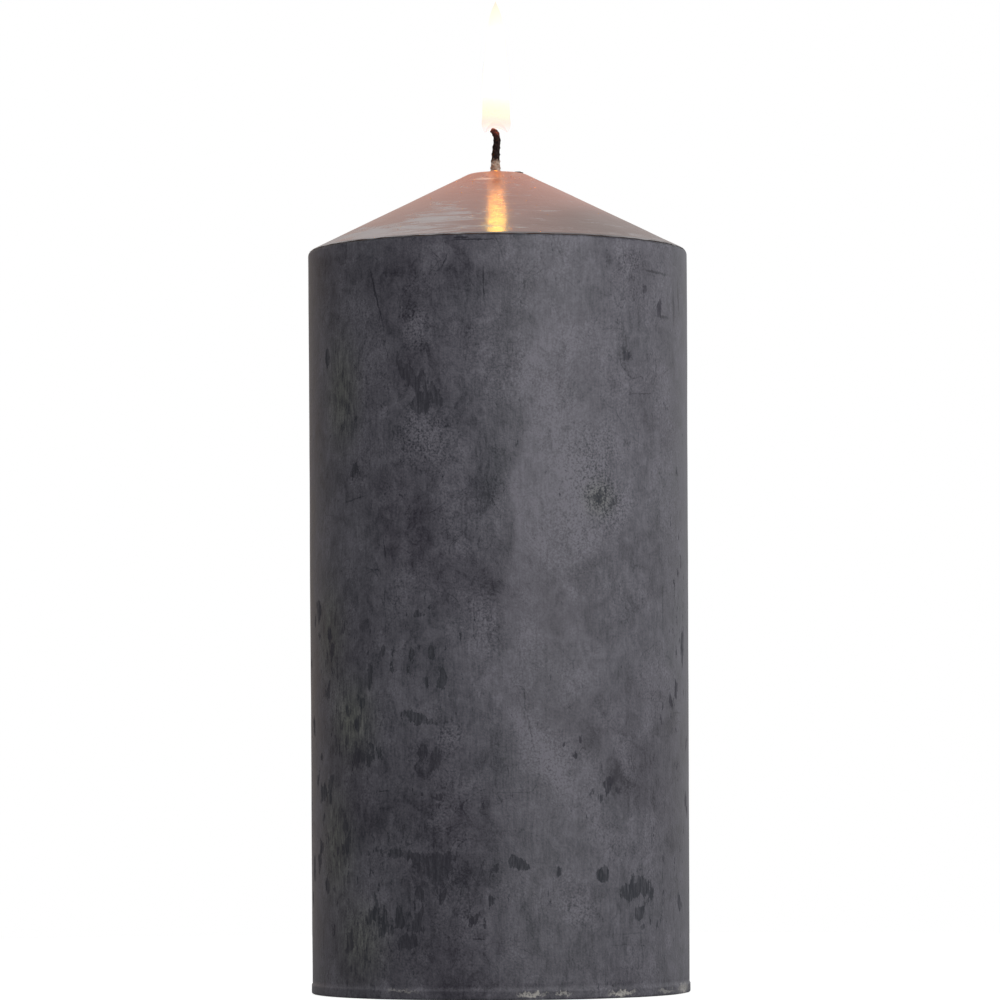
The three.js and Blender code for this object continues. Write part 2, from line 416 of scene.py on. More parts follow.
WALL_STEPS = 380
WALL_ROWS = 200
COAT = 1.6
LIP_HEIGHT, LIP_PROUD, LIP_ROUND = 1.9, 0.15, 0.35
SHOULDER_ROUND = 1.1
FOOT_RADIUS = 35
side_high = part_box("side_coat")[1]
seam_low = side_high.z / MM
shoulder_radius = side_high.x / MM
SEAM_ANGLE = 0.6                  # radians round the shoulder at which the two coats part
SEAM_HALF_GAP = 0.15
shoulder_base = seam_low + SEAM_HALF_GAP - SHOULDER_ROUND * math.sin(SEAM_ANGLE)
SEAM_CLOSE = 0.08                 # the dyed coats nearly meet: each reaches this far into the seam
SEAM_RAGGED = 0.12
side_end_angle = math.asin((seam_low + SEAM_CLOSE - shoulder_base) / SHOULDER_ROUND)


def curve(centre_radius, centre_height, radius, start, end, pieces):
    """Corners along part of a circle, angles in radians from the outward direction."""
    angles = [start + (end - start) * piece / pieces for piece in range(pieces + 1)]
    return [(centre_radius + radius * math.cos(angle), centre_height + radius * math.sin(angle))
            for angle in angles]


lip_radius = FOOT_RADIUS + LIP_PROUD
form = ring_outline([
    (FOOT_RADIUS - COAT, 0),
    *curve(lip_radius - LIP_ROUND, LIP_ROUND, LIP_ROUND, -math.pi / 2, 0, 5),
    (lip_radius, LIP_HEIGHT - LIP_PROUD), (FOOT_RADIUS, LIP_HEIGHT),
    *curve(shoulder_radius - SHOULDER_ROUND, shoulder_base, SHOULDER_ROUND, 0, side_end_angle, 6),
    (shoulder_radius - COAT, seam_low + SEAM_CLOSE)])
wall = [edge for edge in form.edges
        if min(corner.co.x for corner in edge.verts) > (FOOT_RADIUS - 0.1) * MM]
long_wall = max(wall, key=lambda edge: edge.calc_length())
lip_wall = [edge for edge in wall if 1 * MM < edge.calc_length() < 3 * MM]
bmesh.ops.subdivide_edges(form, edges=[long_wall], cuts=WALL_ROWS)
bmesh.ops.subdivide_edges(form, edges=lip_wall, cuts=3)
turn(form, WALL_STEPS)

# Nicks out of the foot: degrees from the front, half length round the foot, depth.
FOOT_NICKS = ((-31, 2.5, 0.12), (-18, 0.9, 0.1), (9, 3.5, 0.3), (19, 2, 0.22), (38.5, 4, 0.3),
              (58, 3.5, 0.14), (74, 4.5, 0.24), (118, 3, 0.2), (163, 5, 0.25), (-97, 2, 0.25),
              (-128, 4, 0.2), (-165, 2.5, 0.3))
NICK_TOP = 2.4
WALL_SWELL = 0.05                 # slow unevenness of the dipped wall
WALL_RIPPLE = 0.018
for corner in form.verts:
    x, y, z = corner.co / MM
    radius = math.hypot(x, y)
    if radius < FOOT_RADIUS - 0.6 and z > 0.05:
        continue
    around = math.atan2(x, -y)
    steady = min(1, max(0, (seam_low - 0.4 - z) / 3))
    swell = noise.noise(Vector((x / 23, y / 23, z / 31))) * WALL_SWELL
    ripple = noise.noise(Vector((x / 4.7, y / 4.7, z / 6.1))) * WALL_RIPPLE
    moved = (swell + ripple) * steady
    for degrees, half_length, depth in FOOT_NICKS:
        away = (around - math.radians(degrees) + math.pi) % math.tau - math.pi
        away *= FOOT_RADIUS / half_length
        if abs(away) < 1 and z < NICK_TOP:
            ragged = 1 + 0.6 * noise.noise(Vector((around * 60, z * 2, degrees)))
            moved -= depth * ragged * (1 - away * away) ** 0.5 * max(0, 1 - (z - 0.8) ** 2 / 2.4)
    corner.co.xy *= 1 + moved / radius
    if z > seam_low + SEAM_CLOSE / 2:
        corner.co.z += noise.noise(Vector((x / 2, y / 2, 3))) * SEAM_RAGGED * MM

# A mark on the wax: an ellipse with a soft edge, turned by an angle. It adds its strength,
# which may be below 0, to the marks before it.
wax_mark, takes, gives = new_group(
    "Wax mark",
    [("So far", "Float", 0.0), ("Round and up", "Vector", None), ("Centre", "Vector", (0, 0, 0)),
     ("Half size", "Vector", (1, 1, 1)), ("Turn", "Vector", (0, 0, 0)), ("Solid core", "Float", 0.3),
     ("Strength", "Float", 1.0)],
    [("With this mark", "Float")])
local = add(wax_mark, "Mapping", {0: takes[1], 1: takes[2], 2: takes[4], 3: takes[3]},
            vector_type="TEXTURE").outputs[0]
reach = add(wax_mark, "VectorMath", {0: local}, operation="LENGTH").outputs["Value"]
shade = spread(wax_mark, reach, 1.0, takes[5], 0.0, takes[6])
wax_mark.links.new(calc(wax_mark, "ADD", takes[0], shade), gives[0])


def marks(tree, place, rows, core, strength):
    """Adds up the marks of a list of rows. core is the share of a mark that is at full strength."""
    so_far = 0.0
    for round_mm, up_mm, wide, high, turned_by, share in rows:
        so_far = use(tree, wax_mark, {
            0: so_far, 1: place, 2: (round_mm, up_mm, 0), 3: (wide, high, 1),
            4: (0, 0, math.radians(turned_by)), 5: core, 6: strength * share}).outputs[0]
    return so_far


def stored(tree, name):
    """A value that is kept at each corner of the mesh."""
    return add(tree, "Attribute", attribute_name=name).outputs["Fac"]


# Marks are rows of millimetres round from the front, millimetres up, half width, half height,
# degrees turned and share. First the broad areas that are more frosted (+) or less (-).
CLOUDS = (
    (10, 108, 9, 17, 0, 0.3), (13, 84, 11, 18, 0, 0.2), (6.5, 45, 3.8, 14, 30, 1.3),
    (-13.5, 101, 7.5, 7, 0, 0.75), (-15, 121, 3.6, 5, 0, 0.7), (-2.5, 66, 4.5, 11, 0, 0.5),
    (-9, 47, 3, 3, 0, 0.8), (12, 21.5, 9, 1, 0, 0.5), (15, 16, 4.5, 4, 0, 0.45),
    (35, 100, 9, 18, 0, 0.35), (20, 60, 12, 7, 0, 0.35), (12, 132, 12, 5, 0, 0.4),
    (-1, 94, 3.2, 18, -9, -0.9), (19.5, 90, 4.5, 5, 0, -0.8), (25, 70, 4, 5, 0, -0.6),
    (-0.5, 41, 4, 6, 20, -0.7), (-27, 44, 6, 3.4, 0, -0.6), (-7, 22, 12, 6, 0, -0.6),
    (23, 40, 9, 8, 0, -0.35), (-31, 104.5, 5, 3, 0, -0.5), (-29, 96, 5, 3, 0, -0.5),
    (-12, 60, 9, 9, 0, -0.25), (-17, 7, 12, 5, 0, -0.3), (60, 40, 18, 22, 0, 0.6),
    (80, 100, 22, 18, 20, -0.7), (-70, 70, 16, 25, -15, 0.7), (-85, 120, 12, 9, 0, -0.7),
    (100, 60, 10, 20, 10, 0.5), (-100, 30, 14, 12, 0, -0.6), (21, 136.5, 22, 2, 0, 0.9),
    (-10, 135, 14, 4, 0, 0.7), (-38, 136.5, 26, 1.8, 0, 0.7), (80, 136.5, 30, 2, 0, 0.6),
    (-90, 136.5, 20, 2, 0, 0.6), (-18, 28, 20, 30, 0, -0.4))
# Larger places where the frost is knocked off.
FLAKES = (
    (-30, 30, 22, 32, 0, 0.16), (-13, 58, 13, 11, 0, 0.2), (30, 20, 19, 11, 0, 0.2),
    (-37, 60, 11, 25, 0, 0.2), (-18, 14, 16, 10, 0, 0.2), (42, 70, 8, 60, 0, 0.18),
    (-22, 100, 13, 19, 0, 0.12), (70, 50, 29, 29, 0, 0.3), (-85, 70, 25, 40, 0, 0.28),
    (95, 118, 19, 13, 0, 0.3), (-75, 25, 22, 19, 0, 0.25), (-14.5, 107, 4, 2.6, 8, 1.1),
    (-15, 111, 2.2, 8, 24, 0.9), (-12, 110, 1.8, 6, 26, 0.9), (-18, 113.5, 1.8, 7, 27, 0.8),
    (-24, 118.5, 3.6, 1, 0, 0.6), (-31, 104.5, 5, 1.5, 25, 0.5), (-29, 96, 4.5, 2, 40, 0.5),
    (19, 90, 6, 5, -30, 0.5), (-15, 50.5, 6.5, 1.6, -16, 1.1), (-27, 44, 6.5, 3.5, 15, 0.75),
    (-11.5, 24, 6.5, 4, 0, 1.3), (-18, 26, 7, 1.6, -6, 1), (-25, 26.5, 4, 1, 8, 0.6),
    (-3.5, 22.5, 1.2, 4, -10, 0.7), (27, 19.5, 6, 2.8, 8, 1.1), (42.5, 16.5, 2, 3.6, 30, 1),
    (45, 64, 1.5, 7, 0, 1), (-41, 37, 3, 2.6, -25, 1), (25.5, 116.5, 2.6, 2.2, 30, 0.7))
# Groups of small flakes: middle round and up, half width and height of the group, how many,
# and the half width and height of a flake.
FLAKE_GROUPS = (
    (-17, 60, 9, 3.5, 18, 0.9, 1.7), (-15, 69.5, 6, 1, 4, 1.3, 0.9), (-14.5, 43, 3, 3, 6, 1.4, 2.3),
    (-13, 35.5, 3, 2, 3, 2, 0.9), (-43, 68, 2, 4, 3, 1.8, 2.2), (-31, 51, 4, 3, 5, 1.1, 2),
    (-34, 66, 3, 4, 3, 1.2, 2.2), (-38, 26, 6, 8, 8, 1.4, 2.4), (-35, 10.5, 4, 2, 4, 1.3, 3.3),
    (-20, 14, 6, 4, 18, 1, 2.1), (-8, 17, 8, 5, 14, 1, 1.9), (3, 24, 6, 2, 5, 1.8, 1.6),
    (19, 38, 4, 2, 7, 1.3, 1.8), (15, 22, 5, 2, 4, 1.6, 2.6), (31, 19, 6, 4, 6, 1.2, 2.3),
    (33, 11, 5, 3, 3, 1.8, 0.9), (38, 54, 6, 5, 5, 1.2, 2.4), (-36, 122, 3, 6, 3, 1, 3.4),
    (34, 128, 4, 4, 3, 1.3, 2.4), (12, 46, 3, 3, 3, 1, 1),
    (-41, 45, 5, 25, 14, 1.1, 2.6), (-52, 40, 6, 26, 12, 1.6, 3), (52, 40, 6, 26, 10, 1.3, 3),
    (-80, 95, 16, 24, 18, 1.8, 2.6), (85, 60, 18, 30, 22, 1.7, 2.6), (-90, 30, 16, 16, 14, 1.8, 2.6),
    (98, 100, 8, 22, 9, 1.6, 2.6))
# Areas rubbed to a coarse light speckle, and areas where the dye leans to olive.
SPECKLED = (
    (-13.5, 101, 9, 8, 0, 0.9), (-15, 121, 4.5, 6, 0, 0.9), (17, 97, 8, 9, 0, 1),
    (20, 90, 8, 6, -30, 1.3), (13, 84, 11, 14, 0, 0.5), (10, 108, 8, 16, 0, 0.5),
    (8, 44, 5, 13, 30, 0.8), (-9, 47, 4, 4, 0, 0.9), (15, 16, 6, 5, 0, 0.5),
    (-2.5, 66, 5, 12, 0, 0.5), (27, 134, 5, 4, 0, 0.6), (38, 95, 9, 25, 0, 0.4),
    (75, 60, 20, 20, 0, 0.8), (-75, 100, 18, 20, 0, 0.8))
OLIVE = (
    (-33, 110, 8, 16, 0, 0.9), (-38, 66, 9, 14, 0, 0.9), (-31, 50, 10, 12, 0, 1), (-36, 28, 9, 16, 0, 1),
    (-29, 10, 11, 12, 0, 0.8), (19, 90, 5, 5, 0, 0.7), (-60, 60, 20, 40, 0, 0.6), (78, 90, 30, 30, 0, 0.6))
# Thin scratches and rubbed lines.
SCRATCHES = (
    (-4, 136.7, 6, 0.2, 1, 1.1), (-6.5, 137.1, 1.8, 0.4, 0, 1.5),
    (-23.5, 127, 0.3, 8.5, 16, 0.8), (-9.5, 133, 0.2, 2.5, -24, 0.8), (-2.5, 128.5, 0.2, 4.5, 0, 0.9),
    (34, 132, 6, 0.35, -3, 1.2), (43, 128, 0.7, 4, 10, 1.2), (29.5, 109.5, 5, 0.2, 4, 0.6),
    (-22, 81.5, 0.2, 3.5, 8, 0.8), (-29.5, 90.5, 4.5, 0.2, 10, 0.7), (-22, 72.5, 0.2, 3, 0, 0.7),
    (-4.5, 69, 0.2, 6.5, 0, 0.7), (4.5, 53.5, 0.2, 3.5, 4, 0.9), (5.5, 48, 0.25, 4.5, 11, 1.1),
    (7, 42, 0.2, 3, 4, 0.9), (35.5, 70, 0.35, 7, 0, 0.7), (-22.5, 37.5, 2, 0.2, 3, 0.8),
    (-11, 18.5, 0.15, 2.5, 0, 0.9), (-4, 11, 2, 0.2, 0, 0.8), (31.5, 28.5, 0.2, 3.5, 0, 0.6),
    (41, 22, 0.2, 5, 0, 0.6), (26, 11.5, 6, 0.2, 0, 0.4), (24, 9.5, 5, 0.2, 0, 0.4),
    (40.5, 126, 0.7, 4.5, 3, 1.4), (36, 124, 3.5, 0.4, 0, 1), (33.5, 115, 0.4, 3, 0, 0.7),
    (40.5, 73.5, 0.4, 4, 0, 1.2), (43.5, 46.5, 0.4, 2.5, 0, 1.2), (42, 51.5, 3, 0.25, 0, 0.9),
    (-41.5, 10.5, 0.4, 3, 0, 1), (35, 22, 0.3, 2, 0, 1.2), (-16, 17, 0.3, 2, 0, 1))
# Bare, lighter wax where the lower edge is chipped.
CHIPS = (
    (-18.5, 1.5, 4.5, 0.25, 0, 0.5), (5.5, 0.9, 3.5, 0.55, 0, 1), (11.5, 1.1, 2, 0.35, 0, 0.7),
    (23.5, 0.9, 4, 0.6, 0, 1), (36, 0.8, 4, 0.5, 0, 0.5), (45, 1.1, 4.5, 1.1, 0, 0.8),
    (72, 1, 3, 0.6, 0, 0.8), (99.5, 1, 5, 0.8, 0, 0.8), (-59, 1, 2, 0.7, 0, 0.8),
    (-78, 0.9, 4, 0.6, 0, 0.7), (-101, 1, 2.5, 0.8, 0, 0.9))

dyed_side, tree, shader = new_material("Dyed wax with frost", Specular_IOR_Level=0.5)
spot = use(tree, whereabouts).outputs
solid, place = spot[0], spot[1]
height = add(tree, "SeparateXYZ", {0: solid}).outputs[2]
wander = grain(tree, solid, 0.9, 3, 0.65).outputs[1]
tremble = add(tree, "VectorMath", {0: wander, 1: (0.5, 0.5, 0.5)}, operation="SUBTRACT").outputs[0]
ragged = add(tree, "VectorMath", {0: tremble, 1: (3.2, 3.2, 0), 2: place},
             operation="MULTIPLY_ADD").outputs[0]
steady = add(tree, "VectorMath", {0: tremble, 1: (0.7, 0.7, 0), 2: place},
             operation="MULTIPLY_ADD").outputs[0]
broad = grain(tree, solid, 0.035, 3, 0.55).outputs[0]
patchy = grain(tree, solid, 0.13, 5, 0.62, across=(1, 1, 0.75), warp=0.4).outputs[0]
brushed = grain(tree, solid, 1.15, 3, 0.6, across=(1, 1, 0.09)).outputs[0]
swirled = grain(tree, solid, 0.33, 5, 0.68, across=(1, 1, 0.8), warp=0.9).outputs[0]
speckle = grain(tree, solid, 2.6, 2, 0.6).outputs[0]
crumbly = grain(tree, solid, 0.6, 5, 0.7, across=(1.3, 1.3, 0.5)).outputs[0]
fibres = grain(tree, solid, 2.2, 3, 0.65, across=(1, 1, 0.16)).outputs[0]
clouds = calc(tree, "MULTIPLY", stored(tree, "frosted"), 0.3)
flaked = stored(tree, "flaked")
flakes = spread(tree, calc(tree, "ADD", flaked, part(tree, crumbly, 1.5)), 0.44, 0.56)
hairlines = []
for per_mm, warp, line_at in ((0.055, 1.6, 0.5), (0.09, 0.8, 0.46), (0.07, 2.2, 0.55)):
    drift = grain(tree, solid, per_mm, 1, 0.4, across=(1, 1, 0.7), warp=warp).outputs[0]
    off_line = calc(tree, "ABSOLUTE", calc(tree, "SUBTRACT", drift, line_at))
    hairlines.append(spread(tree, off_line, 0.0012, 0.0035, 1, 0))
hairline = calc(tree, "MULTIPLY", total(tree, hairlines), spread(tree, patchy, 0.42, 0.56))
grainy = stored(tree, "speckled")
olive = stored(tree, "olive")
scratches = marks(tree, steady, SCRATCHES, 0.2, 1.0)
chips = marks(tree, ragged, CHIPS, 0.4, 1.0)

fibrous = calc(tree, "ADD", spread(tree, broad, 0.4, 0.6, 0.15, 0.4), calc(tree, "MULTIPLY", olive, 1.2))
rough_zone = calc(tree, "ADD", spread(tree, patchy, 0.45, 0.65, 0.25, 0.6), grainy)
frost = total(tree, [clouds, part(tree, broad, 0.4), part(tree, patchy, 0.5), part(tree, brushed, 0.14),
                     part(tree, swirled, 0.62), calc(tree, "MULTIPLY", part(tree, fibres, 0.9), fibrous),
                     calc(tree, "MULTIPLY", part(tree, speckle, 1.3), rough_zone)])
frost = calc(tree, "ADD", frost, 0.46)
knocked_off = calc(tree, "MULTIPLY", flakes, spread(tree, fibres, 0.36, 0.7, 1, 0.5))
scored = calc(tree, "MINIMUM", scratches, 1)
frost = calc(tree, "MULTIPLY", frost, calc(tree, "SUBTRACT", 1, calc(tree, "MULTIPLY", knocked_off, 0.9)))
SEAM_SHADE_START, SEAM_SHADE_FULL = seam_low - 0.3, seam_low - 0.05
seam_shade = spread(tree, calc(tree, "ADD", height, part(tree, crumbly, 0.35)),
                    SEAM_SHADE_START, SEAM_SHADE_FULL)
darkened = calc(tree, "MULTIPLY", calc(tree, "MAXIMUM", scored, seam_shade), 0.5)
lined = calc(tree, "MULTIPLY", hairline, spread(tree, grainy, 0, 1, 0.22, -0.3))
frost = calc(tree, "SUBTRACT", calc(tree, "SUBTRACT", frost, darkened), lined)
frost = add(tree, "Clamp", {0: frost}).outputs[0]
dye = blend(tree, spread(tree, broad, 0.35, 0.65), (0.028, 0.025, 0.038, 1), (0.027, 0.03, 0.04, 1))
bloom = blend(tree, olive, (0.191, 0.1835, 0.216, 1), (0.185, 0.191, 0.172, 1))
waxy = blend(tree, frost, dye, bloom)
bare = calc(tree, "MULTIPLY", calc(tree, "MINIMUM", chips, 1), spread(tree, speckle, 0.3, 0.55, 0.35, 1))
feed(tree, shader,
     Base_Color=blend(tree, bare, waxy, (0.5, 0.48, 0.45, 1)),
     Roughness=total(tree, [spread(tree, frost, 0, 1, 0.36, 0.52), calc(tree, "MULTIPLY", bare, 0.1),
                            calc(tree, "MULTIPLY", knocked_off, 0.4)]))
relief = total(tree, [part(tree, speckle, 0.4), part(tree, fibres, 0.3), part(tree, swirled, 0.5),
                      part(tree, patchy, 0.6)])
tree.links.new(bump(tree, relief, 0.06), shader.inputs["Normal"])
side = put("dyed_side", form, dyed_side, "side_coat", sharp_above=50)
places = numpy.empty(len(side.data.vertices) * 3)
side.data.vertices.foreach_get("co", places)
east_mm, north_mm, up_mm = places.reshape(-1, 3).T / MM
round_mm = numpy.arctan2(east_mm, -north_mm) * SIDE_RADIUS


def lay_marks(name, rows, start=0.0):
    """Stores soft ellipses on the side as a named value at each corner."""
    value = numpy.zeros(len(up_mm)) + start
    for at_round, at_up, wide, high, turned_by, share in rows:
        lean = math.radians(turned_by)
        across = (round_mm - at_round) * math.cos(lean) + (up_mm - at_up) * math.sin(lean)
        along = (up_mm - at_up) * math.cos(lean) - (round_mm - at_round) * math.sin(lean)
        near = numpy.clip(1 - numpy.hypot(across / wide, along / high), 0, 1)
        value += share * near * near * (3 - 2 * near)
    side.data.attributes.new(name, "FLOAT", "POINT").data.foreach_set("value", value)


EDGE_WAVER, WAVER_LENGTH = 0.9, 3.1
EDGE_BLUR = 1.4
EDGE_ENDS = 9                     # the edge fades in and out over this height


def frost_edge(at_round, at_up, slope, low, high, width):
    """Frost that ends along a leaning, wavering line and thins out over width to the right of it."""
    past = (round_mm - at_round - slope * (up_mm - at_up)) / math.hypot(1, slope)
    past -= EDGE_WAVER * numpy.sin(up_mm / WAVER_LENGTH)
    ends = numpy.clip((up_mm - low) / EDGE_ENDS, 0, 1) * numpy.clip((high - up_mm) / EDGE_ENDS, 0, 1)
    return numpy.clip(past / EDGE_BLUR + 0.5, 0, 1) * numpy.clip(1 - past / width, 0, 1) * ends


edged = 1.2 * frost_edge(2.8, 90, 0.1, 60, 128, 18) + 0.8 * frost_edge(5, 46.5, -0.7, 30, 66, 9)
lay_marks("frosted", CLOUDS, edged)
scatter = random.Random(5)
knocked = list(FLAKES)
for at_round, at_up, wide, high, count, half_wide, half_high in FLAKE_GROUPS:
    for _ in range(count):
        size = scatter.uniform(0.7, 1.2)
        knocked.append((at_round + scatter.uniform(-wide, wide), at_up + scatter.uniform(-high, high),
                        half_wide * size, half_high * size, scatter.uniform(-25, 25),
                        scatter.uniform(0.8, 1)))
lay_marks("flaked", knocked)
lay_marks("speckled", SPECKLED)
lay_marks("olive", OLIVE)


# ------------------------------------------------------------------ top coat
# The dyed wax of the low cone, warmed smooth, with a painted glow in its emission that stands in for the
# flame's light inside it.
# It meets the side coat in a fine open seam at the shoulder, and the flat tip is dished by the melt.

CONE_STEPS = 300
CONE_ROWS = 60
CONE_RISE = 14.9
TIP_RADIUS = 5.1
TIP_ROUND = 4
POOL_RADIUS = 3.4
POOL_DEPTH = 0.8
BORE_RADIUS = 1.45
seam_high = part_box("top_coat")[0].z / MM
cone_end = seam_high - SEAM_CLOSE
cone_end_angle = math.asin((cone_end - shoulder_base) / SHOULDER_ROUND)
cone_slope = math.atan2(CONE_RISE, shoulder_radius - TIP_RADIUS)
tip_cut = TIP_ROUND * math.tan(cone_slope / 2)


def inside_cone(height):
    """Radius of the coat's inner face at a height."""
    return TIP_RADIUS + (tip_height - COAT / math.cos(cone_slope) - height) / math.tan(cone_slope)


def dish(radius):
    """Height of the dished tip at a radius."""
    inward = (POOL_RADIUS - radius) / (POOL_RADIUS - BORE_RADIUS)
    return tip_height - POOL_DEPTH * (1 - (1 - inward) ** 2)


dish_radii = [POOL_RADIUS + (BORE_RADIUS - POOL_RADIUS) * step / 6 for step in range(7)]
form = ring_outline([
    *curve(shoulder_radius - SHOULDER_ROUND, shoulder_base, SHOULDER_ROUND, cone_end_angle,
           math.pi / 2 - cone_slope, 6),
    *curve(TIP_RADIUS - tip_cut, tip_height - TIP_ROUND, TIP_ROUND, math.pi / 2 - cone_slope,
           math.pi / 2, 8),
    *((radius, dish(radius)) for radius in dish_radii),
    (BORE_RADIUS, tip_height - COAT), (inside_cone(tip_height - COAT), tip_height - COAT),
    (inside_cone(cone_end), cone_end)])
outer_edges = [edge for edge in form.edges
               if max(corner.co.x for corner in edge.verts) > (shoulder_radius - SHOULDER_ROUND) * MM]
slope_edge = max(outer_edges, key=lambda edge: edge.calc_length())
bmesh.ops.subdivide_edges(form, edges=[slope_edge], cuts=CONE_ROWS)
turn(form, CONE_STEPS)
CONE_SWELL = 0.06
OUTER_SKIN = 0.9                  # corners within this depth of the slope belong to the outer face
for corner in form.verts:
    x, y, z = corner.co / MM
    radius = math.hypot(x, y)
    if z < cone_end + SEAM_CLOSE / 2:
        corner.co.z += noise.noise(Vector((x / 2, y / 2, 8))) * SEAM_RAGGED * MM
    slope_height = tip_height - (radius - TIP_RADIUS) * math.tan(cone_slope)
    if z > slope_height - OUTER_SKIN and radius > TIP_RADIUS:
        fade = min(1, (radius - TIP_RADIUS) / 4) * min(1, max(0, (shoulder_radius - 0.6 - radius) / 3))
        around = math.atan2(y, x)
        swept = Vector((math.cos(around) * 3, math.sin(around) * 3, radius / 9))
        swell = noise.noise(swept) + 0.4 * noise.noise(Vector((x, y, 0)) / 5)
        corner.co.z += swell * CONE_SWELL * fade * MM

dyed_top, tree, shader = new_material("Dyed wax with painted glow", Specular_IOR_Level=0.5, Emission_Strength=1.0)
solid, place, from_axis = use(tree, whereabouts).outputs
# The swept pattern runs round the front and both sides as it is, and turns back behind them, so
# that its two ends meet at the back of the candle.
HALF_ROUND = math.pi * SIDE_RADIUS
TURNS_BACK_AT = 70                # millimetres round from the front
round_from_front = add(tree, "SeparateXYZ", {0: place}).outputs[0]
past_the_turn = calc(tree, "SUBTRACT", calc(tree, "ABSOLUTE", round_from_front), TURNS_BACK_AT)
behind = calc(tree, "MAXIMUM", past_the_turn, 0)
turned_back = calc(tree, "MULTIPLY", calc(tree, "SIGN", round_from_front),
                   calc(tree, "MULTIPLY", behind, HALF_ROUND / (HALF_ROUND - TURNS_BACK_AT)))
swept_place = add(tree, "CombineXYZ", {0: calc(tree, "SUBTRACT", round_from_front, turned_back),
                                       1: from_axis, 2: behind}).outputs[0]
sweeps = grain(tree, swept_place, 0.55, 4, 0.6, across=(0.22, 1, 0.22), warp=0.8).outputs[0]
patchy = grain(tree, solid, 0.11, 4, 0.6).outputs[0]
speckle = grain(tree, solid, 2.4, 2, 0.6).outputs[0]
dimpled = grain(tree, solid, 0.42, 3, 0.55).outputs[0]
streaked = grain(tree, swept_place, 0.3, 5, 0.7, across=(0.22, 1.6, 0.22), warp=1.0).outputs[0]
# Scuffed bands near the seam and one higher up, as rows like the marks on the side.
SCUFFS = (
    (-32, 138, 36, 4.5, 0, 1.1), (-14, 142.5, 13, 3, -4, 0.65), (34, 138, 22, 1.6, 0, 0.6),
    (60, 140, 16, 2, 0, 0.5), (-95, 141, 14, 3, 0, 0.6))
scuff_band = marks(tree, place, SCUFFS, 0.4, 1.0)
scuffed = spread(tree, calc(tree, "MULTIPLY_ADD", scuff_band, 0.22, streaked), 0.54, 0.78)
# Painted glow: the emission colour stands in for the flame's light inside the wax, brightest round the wick
# and fading out towards the seam.
glow = spread(tree, from_axis, 4.0, 35.0, 1.0, 0.0, way="LINEAR")
height = add(tree, "SeparateXYZ", {0: solid}).outputs[2]
above_seam = calc(tree, "SUBTRACT", height, cone_end)
at_seam = calc(tree, "MAXIMUM", spread(tree, from_axis, 34.5, 35.1),
               spread(tree, above_seam, 0.02, 0.2, 1, 0))
GLOW_AT_TIP = (0.32, 0.06, 0.004, 1)
GLOW_AT_SEAM = (0.11, 0.033, 0.012, 1)
glow_colour = blend(tree, calc(tree, "POWER", glow, 1.6), GLOW_AT_SEAM, GLOW_AT_TIP)
# Painted shade on the right and behind: the wax's colour is darkened there and its painted glow dimmed. And
# a pale patch of painted glow on the edge of the flat tip.
PAINTED_SHADE_RIGHT = ((36, 140, 36, 7, 0, 0.9), (82, 142, 26, 7, 0, 0.4))
PAINTED_TIP_GLOW = ((-9, 150.8, 13, 0.35, 0, 0.8),)
painted_shade_right = marks(tree, place, PAINTED_SHADE_RIGHT, 0.3, 1.0)
glow_colour = blend(tree, calc(tree, "MULTIPLY", painted_shade_right, 0.5), glow_colour, (0.01, 0.01, 0.004, 1))
# A pale patch of painted glow on the edge of the flat tip.
glow_colour = blend(tree, marks(tree, place, PAINTED_TIP_GLOW, 0.1, 1.0), glow_colour, (0.6, 0.33, 0.22, 1))
# The painted glow is put out in the seam and on the scuffed bands.
glow_colour = blend(tree, calc(tree, "MAXIMUM", at_seam, calc(tree, "MULTIPLY", scuffed, 0.75)),
                    glow_colour, (0.012, 0.005, 0.003, 1))
tone = total(tree, [part(tree, sweeps, 0.3), part(tree, patchy, 0.3), part(tree, speckle, 0.08)])
# The painted shade on the right and behind darkens the wax's colour as well.
tone = calc(tree, "SUBTRACT", calc(tree, "ADD", tone, 0.5), painted_shade_right)
satin_and_painted_shade = blend(tree, tone, (0.05, 0.047, 0.052, 1), (0.125, 0.115, 0.122, 1))
relief = total(tree, [part(tree, sweeps, 0.35), part(tree, patchy, 0.4), part(tree, dimpled, 0.3),
                      part(tree, speckle, 0.03)])
feed(tree, shader,
     Base_Color=blend(tree, calc(tree, "MULTIPLY", scuffed, 0.75), satin_and_painted_shade, (0.42, 0.41, 0.42, 1)),
     Emission_Color=glow_colour,
     Roughness=total(tree, [spread(tree, sweeps, 0.3, 0.7, 0.13, 0.2), calc(tree, "MULTIPLY", scuffed, 0.2),
                            spread(tree, from_axis, 5, 14, 0.16, 0)]),
     Normal=bump(tree, relief, 0.06))
put("dyed_cone", form, dyed_top, "top_coat", sharp_above=50)


# ------------------------------------------------------------------ melted wax
# A film of liquid wax in the dish round the wick. It climbs the wick a little and shines, and its emission
# is a painted glow that stands in for the flame's light on it.

